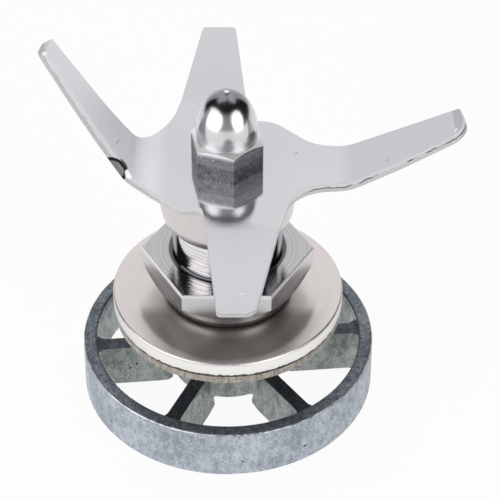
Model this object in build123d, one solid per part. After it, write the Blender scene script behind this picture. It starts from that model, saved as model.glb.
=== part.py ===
from build123d import *
import os
from math import cos, radians, sin, sqrt, tan

# Blade assembly of a blender jar, standing on its retainer nut.
# Millimetres, +Z up along the spindle, origin at the middle of the nut's foot.

# Retainer nut: die-cast ring, ribs and threaded hub
NUT_OUTER_R = 31.25
NUT_HEIGHT = 11.5
NUT_RIM = 2.8
NUT_DRAFT = 1.2
NUT_EDGE_R = 0.5
RIB_COUNT = 6
RIB_TURN = 6.0
RIB_WIDTH = 3.0
RIB_DROP = 1.5
RIB_DRAFT = 4.0
RIB_FOOT = 0.1
RIB_BITE = 0.4
RIB_RING_FILLET = 2.2
RIB_HUB_FILLET = 1.2
RIB_TOE_R = 1.6
TOE_STEP = 0.3
HUB_WALL = 2.25
HUB_FOOT = 3.6

# Stem and shank of the housing, and the fits on them
STEM_R = 9.5
STEM_FOOT = 2.6
STEM_CHAMFER = 0.7
SHANK_R = 10.6
THREAD_CLEARANCE = 0.06
SEAT_GAP = 0.05
SLIDE_CLEARANCE = 0.06

# Gasket, flange disc and O-ring
JAR_GAP = 7.8
GASKET_R = 23.9
GASKET_T = 1.55
FLANGE_R = 24.1
FLANGE_T = 3.7
FLANGE_EDGE_R = 0.5
ORING_SECTION = 1.1
ORING_R = 13.5
ORING_SEAT_R = 11.9

# Bearing housing: neck, hexagon and tower
NECK_R = 13.4
NECK_H = 1.1
HEX_AF = 31.0
HEX_RISE = 10.4
HEX_EDGE = 0.3
TOWER_WALL = 1.75
TOWER_H = 17.0
TOWER_CHAMFER = 0.5
TOWER_ROOT_R = 0.5
SOCKET_R = 7.2
SOCKET_TOP = 13.5
SHAFT_AIR = 0.8

# Ball bearings
BEARING_R = 9.5
BEARING_W = 6.0
BEARING_RISE = 0.9
RACE_WALL = 1.45
TRACK_BITE = 0.35
BALL_COUNT = 7
BALL_CLEARANCE = 0.05
CAGE_WALL = 1.1
CAGE_H = 4.2
POCKET_CLEARANCE = 0.1
SHIELD_T = 0.3
SHIELD_DEPTH = 0.35
SHIELD_BITE = 0.25
SHIELD_AIR = 0.15

# Spindle and the pieces clamped on it
JOURNAL_R = 4.0
SHOULDER_STEP = 1.4
SPACER_L = 7.5
SPLINE_R = 4.2
SPLINE_DEPTH = 0.8
SPLINE_TEETH = 12
SPLINE_TOOTH = 1.1
SPLINE_TOP = 12.0
PILOT_R = 3.2
PILOT_L = 2.55
PILOT_FOOT = 0.25
PILOT_CHAMFER = 0.3
FLAT_HALF = 3.3
FLAT_CLEARANCE = 0.02
SHAFT_ABOVE_BLADE = 9.0

# Snap ring and lip seal in the top of the tower
CIRCLIP_T = 1.0
CIRCLIP_BITE = 0.6
CIRCLIP_WIDTH = 1.8
CIRCLIP_GAP = 5.0
CIRCLIP_CLEARANCE = 0.05
SEAL_RISE = 0.35
SEAL_H = 4.6
SEAL_WALL = 1.1
SEAL_WEB = 1.2
LIP_CLEARANCE = 0.03
LIP_MOUTH = 0.6
LIP_ROOT = 0.5
LIP_HEEL = 0.4
LIP_HEEL_BACK = 1.1
LIP_ROOT_BACK = 1.3
LIP_RISE = 1.2
GARTER_R = 0.4
GARTER_SEAT = 1.25
GARTER_DROP = 0.3

# Slinger cap
CAP_PLATE = 1.8
CAP_BAND = 7.4
CAP_SKIRT = 3.2
CAP_LIP_WALL = 0.5
CAP_WALL = 1.6
CAP_SKIRT_AIR = 0.65
CAP_FLARE = 0.3
CAP_BOSS_R = 6.0
CAP_EDGE_R = 0.6
CAP_AIR = 0.8

# Blade: widths and reaches along the flat strip
BLADE_T = 2.0
RIGHT_REACH = 48.6
RIGHT_TIP_BACK = 3.1
RIGHT_TIP_FRONT = 4.2
RIGHT_ROOT_BACK = 5.45
RIGHT_TIP_SLANT = 5.0
RIGHT_KNEE_BACK = 13.1
LEFT_REACH = 49.7
LEFT_TIP_BACK = 2.35
LEFT_TIP_FRONT = 3.35
LEFT_ROOT_BACK = 4.4
LEFT_TIP_SLANT = 11.0
LEFT_KNEE_BACK = 14.2
LONG_ROOT = 24.0
LONG_ROOT_FRONT = 6.45
LONG_KNEE_FRONT = 5.87
LONG_KNEE_R = 30.0
SHORT_REACH = 41.1
SHORT_TIP_LEAD = 1.3
SHORT_TIP_TRAIL = 5.65
SHORT_ROOT = 24.0
SHORT_ROOT_LEAD = 3.3
SHORT_ROOT_TRAIL = 9.2
LOBE_X = 9.0
LOBE_Y = 14.2
LOBE_FOOT_X = 17.2
LOBE_R = 6.0
LOBE_CORNER_R = 1.5
LOBE_FOOT_R = 8.0
BACK_CROTCH_R = 18.0
FRONT_CROTCH_R = 9.5
RIGHT_FRONT_CORNER_R = 4.0
RIGHT_BACK_CORNER_R = 0.6
LEFT_FRONT_CORNER_R = 1.0
LEFT_BACK_CORNER_R = 0.8
BACK_CORNER_R = 1.0
FRONT_LEAD_CORNER_R = 0.8
FRONT_TRAIL_CORNER_R = 2.5

# Blade: place, angle and radius of each bend
RIGHT_BEND = 23.5
RIGHT_TILT = 27.0
RIGHT_BEND_R = 9.0
LEFT_BEND = 17.4
LEFT_TILT = 60.3
LEFT_BEND_R = 5.0
SHORT_BEND = 21.0
BACK_TILT = 18.0
FRONT_TILT = -6.5
SHORT_BEND_R = 12.0

# Acorn nut
ACORN_AF = 13.0
ACORN_HEX_H = 6.6
ACORN_CHAMFER_R = 6.3
ACORN_CHAMFER_DEG = 30.0
ACORN_DOME_R = 6.05
ACORN_DOME_BAND = 1.8
ACORN_DOME_H = 10.0
ACORN_TURN = 41.3
ACORN_NUB_R = 0.5
ACORN_NUB_H = 0.3
ACORN_HOLE_SPARE = 0.8
DRILL_POINT_DEG = 59.0

# Heights and radii that follow from the sizes above
HUB_R = STEM_R + THREAD_CLEARANCE + HUB_WALL
HUB_TOP = NUT_HEIGHT - RIB_DROP
SHANK_FOOT = HUB_TOP + SEAT_GAP
GASKET_FOOT = NUT_HEIGHT + JAR_GAP
FLANGE_FOOT = GASKET_FOOT + GASKET_T + SEAT_GAP
FLANGE_TOP = FLANGE_FOOT + FLANGE_T
NECK_FOOT = FLANGE_TOP + ORING_SECTION
HEX_FOOT = NECK_FOOT + NECK_H
HEX_TOP = FLANGE_TOP + HEX_RISE
TOWER_TOP = HEX_TOP + TOWER_H
LOWER_FOOT = FLANGE_TOP + BEARING_RISE
UPPER_FOOT = LOWER_FOOT + BEARING_W + SPACER_L
UPPER_TOP = UPPER_FOOT + BEARING_W
SEAL_FOOT = UPPER_TOP + CIRCLIP_T + SEAL_RISE
CAP_PLATE_FOOT = TOWER_TOP + CAP_AIR
BLADE_FOOT = CAP_PLATE_FOOT + CAP_PLATE
BLADE_TOP = BLADE_FOOT + BLADE_T
SHAFT_TOP = BLADE_TOP + SHAFT_ABOVE_BLADE
TOWER_R = BEARING_R + TOWER_WALL
INNER_LAND_R = JOURNAL_R + RACE_WALL
OUTER_LAND_R = BEARING_R - RACE_WALL
PITCH_R = (INNER_LAND_R + OUTER_LAND_R) / 2
TRACK_R = (OUTER_LAND_R - INNER_LAND_R) / 2 + TRACK_BITE
BALL_R = TRACK_R - BALL_CLEARANCE
SHOULDER_R = JOURNAL_R + SHOULDER_STEP
CAP_INNER_R = TOWER_R + CAP_SKIRT_AIR
CAP_LIP_R = CAP_INNER_R + CAP_LIP_WALL
CAP_R = CAP_INNER_R + CAP_WALL
LIP_R = CAP_BOSS_R + LIP_CLEARANCE


def turned(lines):
    """A solid turned about the spindle from closed lines drawn as (radius, height)."""
    return revolve(Plane.XZ * make_face(lines), Axis.Z)


def turned_points(*points):
    """A solid turned about the spindle from the corner points of its profile."""
    return turned(Polyline(*points, close=True))


def ring(outer, inner, foot, height):
    """A plain ring about the spindle."""
    return turned_points((inner, foot), (outer, foot), (outer, foot + height), (inner, foot + height))


def rod(radius, foot, height):
    """A plain round bar about the spindle."""
    return Pos(0, 0, foot + height / 2) * Cylinder(radius, height)


def circles_at(solid, radius, height):
    """The round edges of a solid at one radius and height."""
    near = 0.01
    found = []
    for edge in solid.edges().filter_by(GeomType.CIRCLE):
        if abs(edge.radius - radius) < near and abs(edge.arc_center.Z - height) < near:
            found.append(edge)
    return found


def corners_at(plan, radius):
    """The corners of a plan at one distance from the spindle."""
    return [v for v in plan.vertices() if abs(sqrt(v.X**2 + v.Y**2) - radius) < 0.05]


def make_retainer_nut():
    """Drafted ring, straight ribs rounded into it, and a raised hub with the threaded bore."""
    draft = NUT_HEIGHT * tan(radians(NUT_DRAFT))
    top_outer = NUT_OUTER_R - draft
    top_inner = top_outer - NUT_RIM
    foot_inner = top_inner - draft
    profile = [(foot_inner, 0), (NUT_OUTER_R, 0), (top_outer, NUT_HEIGHT), (top_inner, NUT_HEIGHT)]
    band = turned_points(*profile)
    for radius, height in profile:
        band = fillet(circles_at(band, radius, height), NUT_EDGE_R)

    # Plan of the ribs at their foot, with rounded roots, narrowing upwards with the draft
    rise = HUB_TOP - RIB_FOOT
    slope = tan(radians(RIB_DRAFT))
    root_r = HUB_R + rise * slope
    wall_r = foot_inner + RIB_BITE
    plan = Circle(top_inner + NUT_RIM - NUT_EDGE_R) - Circle(wall_r) + Circle(root_r)
    span = wall_r + RIB_BITE
    for number in range(RIB_COUNT):
        turn = RIB_TURN + 360 / RIB_COUNT * number
        plan += Rot(0, 0, turn) * Pos(span / 2, 0) * Rectangle(span, RIB_WIDTH + 2 * rise * slope)
    plan = fillet(corners_at(plan, wall_r), RIB_RING_FILLET)
    plan = fillet(corners_at(plan, root_r), RIB_HUB_FILLET)
    ribs = Pos(0, 0, RIB_FOOT) * extrude(plan, rise, taper=RIB_DRAFT)

    # Pocket under the hub, flared so that each rib ends in a rounded toe
    pocket_r = HUB_R + (HUB_TOP - HUB_FOOT) * slope + TOE_STEP
    toe_top = RIB_FOOT + RIB_TOE_R
    toe_r = pocket_r + RIB_TOE_R
    toe = CenterArc((toe_r, toe_top), RIB_TOE_R, 180, 90)
    above = Polyline((0, -1), (0, HUB_FOOT), (pocket_r, HUB_FOOT), (pocket_r, toe_top))
    below = Polyline((toe_r, RIB_FOOT), (toe_r, -1), (0, -1))
    pocket = turned(above + toe + below)
    return band + ribs - pocket - rod(STEM_R + THREAD_CLEARANCE, 0, NUT_HEIGHT)


def make_gasket():
    """Flat ring that slides on the shank."""
    return ring(GASKET_R, SHANK_R + SLIDE_CLEARANCE, GASKET_FOOT, GASKET_T)


def make_flange_disc():
    """Disc on the shank, trapped under the O-ring step."""
    disc = ring(FLANGE_R, SHANK_R, FLANGE_FOOT, FLANGE_T)
    edges = circles_at(disc, FLANGE_R, FLANGE_FOOT) + circles_at(disc, FLANGE_R, FLANGE_TOP)
    return fillet(edges, FLANGE_EDGE_R)


def make_o_ring():
    """Square-seated ring with a rounded outer edge."""
    rise = ORING_SECTION / 2
    middle = FLANGE_TOP + rise
    bulge = CenterArc((ORING_R - rise, middle), rise, -90, 180)
    rest = Polyline((ORING_R - rise, NECK_FOOT), (ORING_SEAT_R, NECK_FOOT), (ORING_SEAT_R, FLANGE_TOP),
                    (ORING_R - rise, FLANGE_TOP))
    return turned(bulge + rest)


def make_bearing_housing():
    """Tower, hexagon, neck, shank and stem turned from one bar, bored for the bearings."""
    hexagon = Pos(0, 0, NECK_FOOT) * extrude(
        RegularPolygon(HEX_AF / 2, 6, major_radius=False), HEX_TOP - NECK_FOOT)
    corner_r = HEX_AF / sqrt(3)
    rise = corner_r + 1 - NECK_R
    blank = turned_points(
        (0, NECK_FOOT), (NECK_R, NECK_FOOT), (NECK_R, HEX_FOOT), (NECK_R + rise, HEX_FOOT + rise),
        (corner_r, HEX_TOP), (corner_r - 1, HEX_TOP + HEX_EDGE), (0, HEX_TOP + HEX_EDGE))
    hexagon = hexagon & blank
    hexagon = chamfer(hexagon.edges().filter_by(GeomType.LINE).group_by(Axis.Z)[-1], HEX_EDGE)
    tower = turned_points(
        (0, NECK_FOOT), (TOWER_R, NECK_FOOT), (TOWER_R, TOWER_TOP - TOWER_CHAMFER),
        (TOWER_R - TOWER_CHAMFER, TOWER_TOP), (0, TOWER_TOP))
    lower = turned_points(
        (0, STEM_FOOT), (STEM_R - STEM_CHAMFER, STEM_FOOT), (STEM_R, STEM_FOOT + STEM_CHAMFER),
        (STEM_R, SHANK_FOOT), (SHANK_R, SHANK_FOOT), (SHANK_R, FLANGE_TOP),
        (ORING_SEAT_R, FLANGE_TOP), (ORING_SEAT_R, NECK_FOOT), (0, NECK_FOOT))
    body = lower + hexagon + tower
    body = fillet(circles_at(body, TOWER_R, HEX_TOP), TOWER_ROOT_R)

    # Stepped bore: drive socket, shaft hole, bearing seat and snap ring groove
    groove_r = BEARING_R + CIRCLIP_BITE
    groove_top = UPPER_TOP + CIRCLIP_T + CIRCLIP_CLEARANCE
    hole_r = SHOULDER_R + SHAFT_AIR
    bore = turned_points(
        (0, STEM_FOOT), (SOCKET_R, STEM_FOOT), (SOCKET_R, SOCKET_TOP), (hole_r, SOCKET_TOP),
        (hole_r, LOWER_FOOT), (BEARING_R, LOWER_FOOT), (BEARING_R, UPPER_TOP), (groove_r, UPPER_TOP),
        (groove_r, groove_top), (BEARING_R, groove_top), (BEARING_R, TOWER_TOP), (0, TOWER_TOP))
    return body - bore


def make_bearing(foot):
    """The six pieces of one ball bearing whose lower face lies at a height."""
    top = foot + BEARING_W
    middle = foot + BEARING_W / 2
    track = Pos(0, 0, middle) * Torus(PITCH_R, TRACK_R)
    inner_race = ring(INNER_LAND_R, JOURNAL_R, foot, BEARING_W) - track

    # Outer race with a step at each face for its shield
    step = SHIELD_DEPTH + SHIELD_T
    step_r = OUTER_LAND_R + SHIELD_BITE
    outer_race = turned_points(
        (step_r, foot), (BEARING_R, foot), (BEARING_R, top), (step_r, top), (step_r, top - step),
        (OUTER_LAND_R, top - step), (OUTER_LAND_R, foot + step), (step_r, foot + step)) - track
    shield_r = INNER_LAND_R + SHIELD_AIR
    top_shield = ring(step_r, shield_r, top - step, SHIELD_T)
    bottom_shield = ring(step_r, shield_r, foot + SHIELD_DEPTH, SHIELD_T)

    # Balls and the drilled cage that spaces them
    spots = PolarLocations(PITCH_R, BALL_COUNT)
    balls = Compound(children=[Pos(0, 0, middle) * spot * Sphere(BALL_R) for spot in spots])
    cage = ring(PITCH_R + CAGE_WALL / 2, PITCH_R - CAGE_WALL / 2, middle - CAGE_H / 2, CAGE_H)
    for spot in spots:
        cage -= Pos(0, 0, middle) * spot * Rot(0, 90, 0) * Cylinder(BALL_R + POCKET_CLEARANCE, 2 * CAGE_WALL)
    return {
        "inner_race": inner_race,
        "outer_race": outer_race,
        "top_shield": top_shield,
        "bottom_shield": bottom_shield,
        "balls": balls,
        "cage": cage,
    }


def make_spacer_sleeve():
    """Sleeve that holds the two inner races apart."""
    return ring(SHOULDER_R, JOURNAL_R, LOWER_FOOT + BEARING_W, SPACER_L)


def make_housing_circlip():
    """Open snap ring in the groove above the upper bearing."""
    outer = BEARING_R + CIRCLIP_BITE
    clip = ring(outer, outer - CIRCLIP_WIDTH, UPPER_TOP, CIRCLIP_T)
    mouth = Pos(outer, 0, UPPER_TOP + CIRCLIP_T / 2) * Box(2 * CIRCLIP_WIDTH + 2, CIRCLIP_GAP, 2 * CIRCLIP_T)
    return clip - mouth


def make_lip_seal():
    """Seal with a stiff outer wall, a web on top and a lip that rides on the slinger's boss."""
    top = SEAL_FOOT + SEAL_H
    web = top - SEAL_WEB
    edge = SEAL_FOOT + SEAL_H / 2
    heel = SEAL_FOOT + LIP_RISE
    return turned_points(
        (BEARING_R, SEAL_FOOT), (BEARING_R, top), (LIP_R + LIP_MOUTH, top), (LIP_R + LIP_ROOT, web),
        (LIP_R, edge), (LIP_R + LIP_HEEL, heel), (LIP_R + LIP_HEEL_BACK, heel),
        (LIP_R + LIP_ROOT_BACK, web), (BEARING_R - SEAL_WALL, web), (BEARING_R - SEAL_WALL, SEAL_FOOT))


def make_seal_spring():
    """Garter spring round the back of the lip."""
    middle = SEAL_FOOT + SEAL_H / 2 - GARTER_DROP
    return Pos(0, 0, middle) * Torus(LIP_R + GARTER_SEAT + GARTER_R, GARTER_R)


def make_slinger_cap():
    """Cap with a plate under the blade, a skirt outside the tower and a boss inside the seal."""
    band_foot = BLADE_FOOT - CAP_BAND
    skirt_foot = band_foot - CAP_SKIRT
    skirt = SagittaArc((CAP_R, band_foot), (CAP_LIP_R, skirt_foot), CAP_FLARE)
    rest = Polyline(
        (CAP_LIP_R, skirt_foot), (CAP_INNER_R, skirt_foot), (CAP_INNER_R, CAP_PLATE_FOOT),
        (CAP_BOSS_R, CAP_PLATE_FOOT), (CAP_BOSS_R, UPPER_TOP), (JOURNAL_R, UPPER_TOP),
        (JOURNAL_R, BLADE_FOOT), (CAP_R, BLADE_FOOT), (CAP_R, band_foot))
    cap = turned(skirt + rest)
    return fillet(circles_at(cap, CAP_R, BLADE_FOOT), CAP_EDGE_R)


def make_drive_shaft():
    """Spindle: pilot, splined drive end, shoulder, journal and a top with two flats."""
    pilot_top = PILOT_FOOT + PILOT_L
    root_r = SPLINE_R - SPLINE_DEPTH
    shaft = turned_points(
        (0, PILOT_FOOT), (PILOT_R - PILOT_CHAMFER, PILOT_FOOT), (PILOT_R, PILOT_FOOT + PILOT_CHAMFER),
        (PILOT_R, pilot_top), (root_r, pilot_top), (root_r, SPLINE_TOP), (SHOULDER_R, SPLINE_TOP),
        (SHOULDER_R, LOWER_FOOT), (JOURNAL_R, LOWER_FOOT), (JOURNAL_R, SHAFT_TOP), (0, SHAFT_TOP))
    tooth = Pos(SPLINE_R / 2, 0) * Rectangle(SPLINE_R, SPLINE_TOOTH)
    teeth = Circle(root_r)
    for number in range(SPLINE_TEETH):
        teeth += Rot(0, 0, 360 / SPLINE_TEETH * number) * tooth
    shaft += Pos(0, 0, pilot_top) * extrude(teeth & Circle(SPLINE_R), SPLINE_TOP - pilot_top)
    flats_h = SHAFT_TOP - BLADE_FOOT
    side = JOURNAL_R - FLAT_HALF
    for way in (1, -1):
        place = Pos(0, way * (FLAT_HALF + side), BLADE_FOOT + flats_h / 2)
        shaft -= place * Box(4 * JOURNAL_R, 2 * side, flats_h)
    return shaft


def meet(a, b, c, d):
    """Where the line through a and b meets the line through c and d."""
    turn = (b[0] - a[0]) * (d[1] - c[1]) - (b[1] - a[1]) * (d[0] - c[0])
    share = ((c[0] - a[0]) * (d[1] - c[1]) - (c[1] - a[1]) * (d[0] - c[0])) / turn
    return (a[0] + share * (b[0] - a[0]), a[1] + share * (b[1] - a[1]))


def along(a, b, x=None, y=None):
    """The point of the line through a and b at one x or one y."""
    if x is not None:
        return (x, a[1] + (x - a[0]) * (b[1] - a[1]) / (b[0] - a[0]))
    return (a[0] + (y - a[1]) * (b[0] - a[0]) / (b[1] - a[1]), y)


def bent_tip(bend, tilt, reach):
    """Where a strip's upper face ends after one bend, measured from the middle."""
    length = reach - bend
    return (bend + length * cos(radians(tilt)), length * sin(radians(tilt)))


def bent_strip(bends, tilts, radii, reaches):
    """Face of a bent strip seen from the side, upper face on height 0 in the middle."""
    outline = []
    for bend, tilt, reach, way in zip(bends, tilts, reaches, (1, -1)):
        angle = radians(tilt)
        x, z = bent_tip(bend, tilt, reach)
        under = bend + BLADE_T * tan(angle / 2)
        upper_side = [(way * bend, 0), (way * x, z)]
        lower_side = [(way * (x + BLADE_T * sin(angle)), z - BLADE_T * cos(angle)), (way * under, -BLADE_T)]
        outline.append((upper_side, lower_side))
    right, left = outline
    points = right[0] + right[1] + left[1][::-1] + left[0][::-1]
    face = make_face(Polyline(*points, close=True))

    # Round the inside and the outside of each bend about one centre
    for bend, tilt, way, radius in zip(bends, tilts, (1, -1), radii):
        under = bend + BLADE_T * tan(radians(tilt) / 2)
        upper_r = radius if tilt > 0 else radius + BLADE_T
        lower_r = radius + BLADE_T if tilt > 0 else radius
        for x, z, r in ((way * bend, 0, upper_r), (way * under, -BLADE_T, lower_r)):
            corner = [v for v in face.vertices() if abs(v.X - x) < 0.01 and abs(v.Y - z) < 0.01]
            face = fillet(corner, r)
    return face


def long_edge(bend, tilt, *corners):
    """Plan points of one edge of a long arm, root first, from (reach, half width) pairs."""
    points = [(bent_tip(bend, tilt, reach)[0], half) for reach, half in corners]
    end_x = points[-1][0] + 2 * BLADE_T
    return points[:-1] + [along(points[-2], points[-1], x=end_x)]


def half_plan(edge, other_edge, short_y, crotch_r):
    """Plan corners of half the blade, each with its rounding, from one long arm's tip over a
    short arm to the other long arm's tip."""
    lead_tip = (SHORT_TIP_LEAD, short_y)
    lead_base = (SHORT_ROOT_LEAD, SHORT_ROOT)
    trail_tip = (-SHORT_TIP_TRAIL, short_y)
    trail_base = (-SHORT_ROOT_TRAIL, SHORT_ROOT)
    end_y = short_y + BLADE_T
    other = [(-x, y) for x, y in other_edge]
    corners = [(edge[-1], 0)]
    corners += [(knee, LONG_KNEE_R) for knee in edge[1:-1]]
    corners += [
        (along(edge[0], edge[1], x=LOBE_FOOT_X), LOBE_FOOT_R),
        ((LOBE_X, LOBE_Y), LOBE_R),
        (along(lead_base, lead_tip, y=LOBE_Y), LOBE_CORNER_R),
        (along(lead_base, lead_tip, y=end_y), 0),
        (along(trail_base, trail_tip, y=end_y), 0),
        (meet(trail_base, trail_tip, other[0], other[1]), crotch_r),
    ]
    corners += [(knee, LONG_KNEE_R) for knee in other[1:-1]]
    return corners + [(other[-1], 0)]


def cut_tip(blade, bend, tilt, way, reach, front, slant):
    """Cut the end of a long arm aslant, so that its front edge is the longer one."""
    out, rise = bent_tip(bend, tilt, reach)
    corner = (way * out, -front, BLADE_TOP + rise)
    angle = radians(tilt)
    across = Plane(
        origin=corner, x_dir=(way * cos(angle), 0, sin(angle)), z_dir=(-way * sin(angle), 0, cos(angle)))
    beyond = 4 * BLADE_T
    wide = 4 * LONG_ROOT_FRONT
    return blade - across * Rot(0, 0, way * slant) * Pos(beyond / 2, 0) * Box(beyond, wide, beyond)


def round_corner(blade, corner, radius):
    """Round the edge across the strip that lies nearest to one corner of a tip."""
    edges = blade.edges().filter_by(GeomType.LINE)
    across = [edge for edge in edges if abs(edge.length - BLADE_T) < BLADE_T / 4]
    nearest = min(across, key=lambda edge: (edge.center() - Vector(*corner)).length)
    return fillet(nearest, radius)


def make_blade():
    """Four-arm stamping: two bent strips crossed at the hub and trimmed to one plan."""
    right = (RIGHT_BEND, RIGHT_TILT)
    left = (LEFT_BEND, LEFT_TILT)
    back_y, back_rise = bent_tip(SHORT_BEND, BACK_TILT, SHORT_REACH)
    front_y, front_rise = bent_tip(SHORT_BEND, FRONT_TILT, SHORT_REACH)
    root_front = (LONG_ROOT, LONG_ROOT_FRONT)
    right_knee = (RIGHT_REACH - RIGHT_KNEE_BACK, LONG_KNEE_FRONT)
    left_knee = (LEFT_REACH - LEFT_KNEE_BACK, LONG_KNEE_FRONT)
    right_back = long_edge(*right, (LONG_ROOT, RIGHT_ROOT_BACK), (RIGHT_REACH, RIGHT_TIP_BACK))
    left_back = long_edge(*left, (LONG_ROOT, LEFT_ROOT_BACK), (LEFT_REACH, LEFT_TIP_BACK))
    right_front = long_edge(*right, root_front, right_knee, (RIGHT_REACH, RIGHT_TIP_FRONT))
    left_front = long_edge(*left, root_front, left_knee, (LEFT_REACH, LEFT_TIP_FRONT))
    corners = half_plan(right_back, left_back, back_y, BACK_CROTCH_R)
    front_half = half_plan(left_front, right_front, front_y, FRONT_CROTCH_R)
    corners += [((-x, -y), radius) for (x, y), radius in front_half]
    plan = make_face(Polyline(*[point for point, radius in corners], close=True))
    for (x, y), radius in corners:
        if radius:
            corner = [v for v in plan.vertices() if abs(v.X - x) < 0.01 and abs(v.Y - y) < 0.01]
            plan = fillet(corner, radius)
    prism = Pos(0, 0, BLADE_FOOT - SHORT_ROOT) * extrude(plan, 2 * LEFT_REACH)

    # Long strip lies along X, short strip along Y
    long_face = bent_strip(
        (RIGHT_BEND, LEFT_BEND), (RIGHT_TILT, LEFT_TILT),
        (RIGHT_BEND_R, LEFT_BEND_R), (RIGHT_REACH, LEFT_REACH))
    short_face = bent_strip(
        (SHORT_BEND, SHORT_BEND), (BACK_TILT, FRONT_TILT),
        (SHORT_BEND_R, SHORT_BEND_R), (SHORT_REACH, SHORT_REACH))
    long_width = LOBE_Y + BLADE_T
    short_width = SHORT_ROOT_TRAIL + 2 * BLADE_T
    long_strip = Pos(0, 0, BLADE_TOP) * extrude(Plane.XZ * long_face, long_width, both=True)
    short_strip = Pos(0, 0, BLADE_TOP) * extrude(Plane.YZ * short_face, short_width, both=True)
    blade = (long_strip + short_strip) & prism
    blade = cut_tip(blade, *right, 1, RIGHT_REACH, RIGHT_TIP_FRONT, RIGHT_TIP_SLANT)
    blade = cut_tip(blade, *left, -1, LEFT_REACH, LEFT_TIP_FRONT, LEFT_TIP_SLANT)

    # Corners of the four tips
    right_x, right_rise = bent_tip(*right, RIGHT_REACH)
    left_x, left_rise = bent_tip(*left, LEFT_REACH)
    for x, y, rise, radius in (
        (right_x, -RIGHT_TIP_FRONT, right_rise, RIGHT_FRONT_CORNER_R),
        (right_x, RIGHT_TIP_BACK, right_rise, RIGHT_BACK_CORNER_R),
        (-left_x, -LEFT_TIP_FRONT, left_rise, LEFT_FRONT_CORNER_R),
        (-left_x, LEFT_TIP_BACK, left_rise, LEFT_BACK_CORNER_R),
        (SHORT_TIP_LEAD, back_y, back_rise, BACK_CORNER_R),
        (-SHORT_TIP_TRAIL, back_y, back_rise, BACK_CORNER_R),
        (-SHORT_TIP_LEAD, -front_y, front_rise, FRONT_LEAD_CORNER_R),
        (SHORT_TIP_TRAIL, -front_y, front_rise, FRONT_TRAIL_CORNER_R),
    ):
        blade = round_corner(blade, (x, y, BLADE_TOP + rise), radius)

    # Hole with two flats on the spindle
    hole = Circle(JOURNAL_R + FLAT_CLEARANCE) & Rectangle(4 * JOURNAL_R, 2 * (FLAT_HALF + FLAT_CLEARANCE))
    return blade - Pos(0, 0, BLADE_FOOT) * extrude(hole, BLADE_T)


def make_acorn_nut():
    """Tall nut with a chamfered hexagon, a bullet dome with a parting nub and a blind thread hole."""
    hex_top = BLADE_TOP + ACORN_HEX_H
    hexagon = Pos(0, 0, BLADE_TOP) * Rot(0, 0, ACORN_TURN) * extrude(
        RegularPolygon(ACORN_AF / 2, 6, major_radius=False), ACORN_HEX_H)
    reach = ACORN_AF
    fall = (reach - ACORN_CHAMFER_R) * tan(radians(ACORN_CHAMFER_DEG))
    hexagon = hexagon & turned_points(
        (0, BLADE_TOP), (reach, BLADE_TOP), (reach, hex_top - fall), (ACORN_CHAMFER_R, hex_top), (0, hex_top))
    spring = hex_top + ACORN_DOME_BAND
    crown = ACORN_DOME_H - ACORN_DOME_BAND
    shoulder = (ACORN_DOME_R * cos(radians(45)), spring + crown * sin(radians(45)))
    side = TangentArc((ACORN_DOME_R, spring), shoulder, tangent=(0, 1))
    nose = TangentArc(shoulder, (ACORN_NUB_R, spring + crown), tangent=side % 1)
    nub_top = spring + crown + ACORN_NUB_H
    dome = turned(side + nose + Polyline(
        (ACORN_NUB_R, spring + crown), (ACORN_NUB_R, nub_top), (0, nub_top), (0, hex_top),
        (ACORN_DOME_R, hex_top), (ACORN_DOME_R, spring)))
    hole_top = SHAFT_TOP + ACORN_HOLE_SPARE
    point = JOURNAL_R / tan(radians(DRILL_POINT_DEG))
    hole = turned_points(
        (0, BLADE_TOP), (JOURNAL_R, BLADE_TOP), (JOURNAL_R, hole_top), (0, hole_top + point))
    return hexagon + dome - hole


pieces = {
    "retainer_nut": make_retainer_nut(),
    "gasket": make_gasket(),
    "flange_disc": make_flange_disc(),
    "o_ring": make_o_ring(),
    "bearing_housing": make_bearing_housing(),
    "spacer_sleeve": make_spacer_sleeve(),
    "housing_circlip": make_housing_circlip(),
    "lip_seal": make_lip_seal(),
    "seal_spring": make_seal_spring(),
    "slinger_cap": make_slinger_cap(),
    "drive_shaft": make_drive_shaft(),
    "blade": make_blade(),
    "acorn_nut": make_acorn_nut(),
}
for place, foot in (("lower", LOWER_FOOT), ("upper", UPPER_FOOT)):
    for name, solid in make_bearing(foot).items():
        pieces[f"{place}_{name}"] = solid

os.makedirs("parts", exist_ok=True)
for node, solid in pieces.items():
    export_step(solid, f"parts/{node}.step")
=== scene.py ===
from math import atan2, radians, tau

import bpy
from mathutils import Matrix, Vector


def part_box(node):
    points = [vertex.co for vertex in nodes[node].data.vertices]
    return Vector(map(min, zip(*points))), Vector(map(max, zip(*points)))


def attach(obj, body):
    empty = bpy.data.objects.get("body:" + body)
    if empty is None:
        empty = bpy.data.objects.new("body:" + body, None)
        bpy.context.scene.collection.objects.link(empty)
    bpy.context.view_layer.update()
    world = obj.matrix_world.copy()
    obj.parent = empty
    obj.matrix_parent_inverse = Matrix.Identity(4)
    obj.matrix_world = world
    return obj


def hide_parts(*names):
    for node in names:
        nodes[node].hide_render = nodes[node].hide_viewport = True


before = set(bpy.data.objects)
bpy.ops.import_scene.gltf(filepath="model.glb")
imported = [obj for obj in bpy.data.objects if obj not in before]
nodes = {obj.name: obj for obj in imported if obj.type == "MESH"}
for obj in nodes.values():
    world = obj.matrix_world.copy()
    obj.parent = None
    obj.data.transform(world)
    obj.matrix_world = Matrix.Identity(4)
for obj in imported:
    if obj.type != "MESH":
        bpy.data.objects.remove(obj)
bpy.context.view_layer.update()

bpy.context.scene.view_settings.view_transform = "Standard"

# Retainer nut. A zinc die casting with a rim, six ribs and a threaded hub, screwed on from below
# the jar. Its skin is left raw: mottled blue grey with small pits. The upper faces of the rim and
# ribs are painted dark, a painted reflection of the dark parts above them, and the rim's outer
# edge is bright, partly rubbed metal and partly a painted highlight.


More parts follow.
